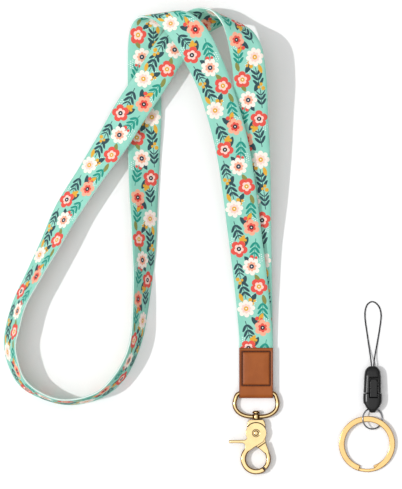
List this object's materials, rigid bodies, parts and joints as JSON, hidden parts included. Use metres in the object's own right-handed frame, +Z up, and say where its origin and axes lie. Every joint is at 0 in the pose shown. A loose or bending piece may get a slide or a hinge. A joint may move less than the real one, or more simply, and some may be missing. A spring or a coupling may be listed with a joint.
{
  "type": "neck lanyard with trigger snap hook",
  "caption": "Floral-printed ribbon neck lanyard with stitched leather cuff, D-ring and swivelling trigger snap hook, laid flat beside its quick-release phone loop and split key ring",
  "frame": {"origin": "the middle of the leather cuff's back face, on the surface that the lanyard lies on", "axes": "+Y runs from the cuff up the strap towards the top of the laid-out loop, +Z is up from the surface, +X points to the side where the phone loop and key ring lie"},
  "size_m": [0.2346, 0.2798, 0.0281],
  "materials": {
    "ribbon": "smooth woven polyester ribbon, mint green with a floral print",
    "leather": "tan smooth leather, semi-matt",
    "thread": "dark brown twisted sewing thread",
    "gold_metal": "polished pale gold plating",
    "steel": "bright steel wire",
    "black_plastic": "black moulded plastic, semi-gloss",
    "cord": "fine black braided cord"
  },
  "bodies": {
    "strap": {"strap_back": "ribbon", "strap_right_turn": "ribbon", "strap_left_limb": "ribbon", "strap_neck_curve": "ribbon", "strap_right_limb": "ribbon", "strap_left_turn": "ribbon", "strap_front": "ribbon", "leather_cuff": "leather", "front_stitching": "thread", "back_stitching": "thread"},
    "d_ring": {"d_ring": "gold_metal"},
    "hook": {"swivel_pin": "gold_metal", "hook_frame": "gold_metal", "pivot_rivet": "gold_metal", "jaw_spring": "steel"},
    "jaw": {"hook_jaw": "gold_metal"},
    "phone_loop": {"phone_cord": "cord", "cord_knot": "cord", "buckle_socket": "black_plastic"},
    "plug": {"buckle_plug": "black_plastic"},
    "latch": {"buckle_latch": "black_plastic"},
    "link": {"link_ring": "steel"},
    "key_ring": {"key_ring": "gold_metal"}
  },
  "joints": [
    {"name": "d_ring_swing", "type": "hinge", "parent": "strap", "child": "d_ring", "pos_m": [0, -0.0124, 0.00285], "axis": [-1, 0, 0], "range_deg": [0, 110]},
    {"name": "hook_swivel", "type": "hinge", "parent": "d_ring", "child": "hook", "pos_m": [0, -0.0263, 0.00285], "axis": [0, 1, 0], "continuous": true},
    {"name": "jaw_open", "type": "hinge", "parent": "hook", "child": "jaw", "pos_m": [0, -0.0361, 0.00285], "axis": [0, 0, -1], "range_deg": [0, 28], "stiffness_Nm_per_rad": 0.05, "springref_deg": -34.38},
    {"name": "accessory_lift", "type": "slide", "parent": "strap", "child": "phone_loop", "axis": [0, 0, 1], "range_m": [0, 0.08]},
    {"name": "plug_release", "type": "slide", "parent": "phone_loop", "child": "plug", "axis": [0, -1, 0], "range_m": [0, 0.016]},
    {"name": "latch_press", "type": "hinge", "parent": "plug", "child": "latch", "pos_m": [0.0698, -0.0146, 0.0054], "axis": [-1, 0, 0], "range_deg": [0, 4], "stiffness_Nm_per_rad": 0.02, "springref_deg": -5.73},
    {"name": "link_swing", "type": "hinge", "parent": "plug", "child": "link", "pos_m": [0.0698, -0.0212, 0.00265], "axis": [-1, 0, 0], "range_deg": [0, 35]},
    {"name": "key_ring_swing", "type": "hinge", "parent": "link", "child": "key_ring", "pos_m": [0.0695, -0.0278, 0.003], "axis": [-1, 0, 0], "range_deg": [0, 18]}
  ]
}
